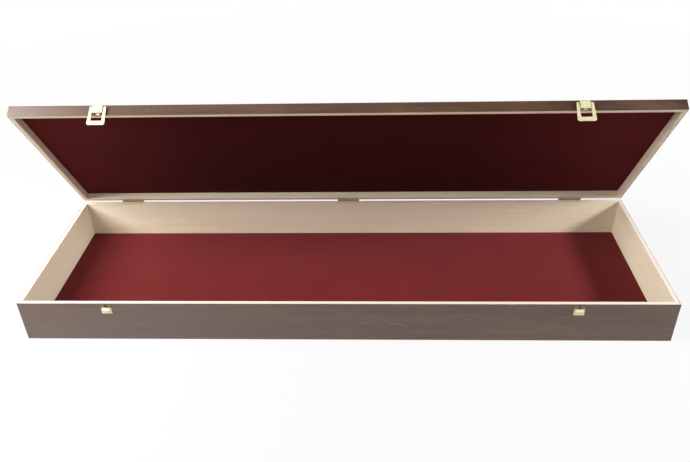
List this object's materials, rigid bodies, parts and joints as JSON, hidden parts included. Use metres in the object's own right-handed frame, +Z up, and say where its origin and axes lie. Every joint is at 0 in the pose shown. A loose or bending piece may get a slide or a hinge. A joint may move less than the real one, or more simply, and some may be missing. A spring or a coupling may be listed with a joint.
{
  "type": "wooden box",
  "caption": "Long shallow wooden box with a felt-lined base and hinged lid, butt hinges at the back and brass draw-over catches in front; lid stored half open.",
  "frame": {"origin": "middle of the box's underside", "axes": "+X along the box, -Y out of the front where the catches are, +Z up"},
  "size_m": [1, 0.3239, 0.3354],
  "materials": {
    "stained_wood": "greyish brown stain outside, bare pale wood on the rims and inside",
    "felt": "matt wine-red felt",
    "dark_brass": "dull, darkened brass",
    "pale_brass": "pale, lightly polished brass plate",
    "dark_steel": "dark, matt"
  },
  "bodies": {
    "base": {"base_front_wall": "stained_wood", "base_back_wall": "stained_wood", "base_left_wall": "stained_wood", "base_right_wall": "stained_wood", "base_bottom_panel": "stained_wood", "base_felt": "felt", "hinge_left_base_leaf": "dark_brass", "hinge_middle_base_leaf": "dark_brass", "hinge_right_base_leaf": "dark_brass", "hinge_left_pin": "dark_brass", "hinge_middle_pin": "dark_brass", "hinge_right_pin": "dark_brass", "hinge_left_base_screw_1": "dark_brass", "hinge_left_base_screw_2": "dark_brass", "hinge_left_base_screw_3": "dark_brass", "hinge_middle_base_screw_1": "dark_brass", "hinge_middle_base_screw_2": "dark_brass", "hinge_middle_base_screw_3": "dark_brass", "hinge_right_base_screw_1": "dark_brass", "hinge_right_base_screw_2": "dark_brass", "hinge_right_base_screw_3": "dark_brass", "catch_left_hook": "pale_brass", "catch_right_hook": "pale_brass", "catch_left_hook_screw": "dark_steel", "catch_right_hook_screw": "dark_steel"},
    "lid": {"lid_front_rail": "stained_wood", "lid_back_rail": "stained_wood", "lid_left_rail": "stained_wood", "lid_right_rail": "stained_wood", "lid_panel": "stained_wood", "lid_felt": "felt", "hinge_left_lid_leaf": "dark_brass", "hinge_middle_lid_leaf": "dark_brass", "hinge_right_lid_leaf": "dark_brass", "hinge_left_lid_screw_1": "dark_brass", "hinge_left_lid_screw_2": "dark_brass", "hinge_left_lid_screw_3": "dark_brass", "hinge_middle_lid_screw_1": "dark_brass", "hinge_middle_lid_screw_2": "dark_brass", "hinge_middle_lid_screw_3": "dark_brass", "hinge_right_lid_screw_1": "dark_brass", "hinge_right_lid_screw_2": "dark_brass", "hinge_right_lid_screw_3": "dark_brass", "catch_left_plate": "pale_brass", "catch_right_plate": "pale_brass", "catch_left_plate_screw_1": "dark_steel", "catch_left_plate_screw_2": "dark_steel", "catch_right_plate_screw_1": "dark_steel", "catch_right_plate_screw_2": "dark_steel"},
    "left_bail": {"catch_left_bail": "pale_brass"},
    "right_bail": {"catch_right_bail": "pale_brass"}
  },
  "joints": [
    {"name": "lid_hinge", "type": "hinge", "parent": "base", "child": "lid", "pos_m": [0, 0.1548, 0.07165], "axis": [-1, 0, 0], "range_deg": [-55, 125]},
    {"name": "left_bail_pivot", "type": "hinge", "parent": "lid", "child": "left_bail", "pos_m": [-0.362, -0.01247, 0.3326], "axis": [-1, 0, 0], "range_deg": [0, 190]},
    {"name": "right_bail_pivot", "type": "hinge", "parent": "lid", "child": "right_bail", "pos_m": [0.3535, -0.01329, 0.33202], "axis": [-1, 0, 0], "range_deg": [0, 190]}
  ]
}
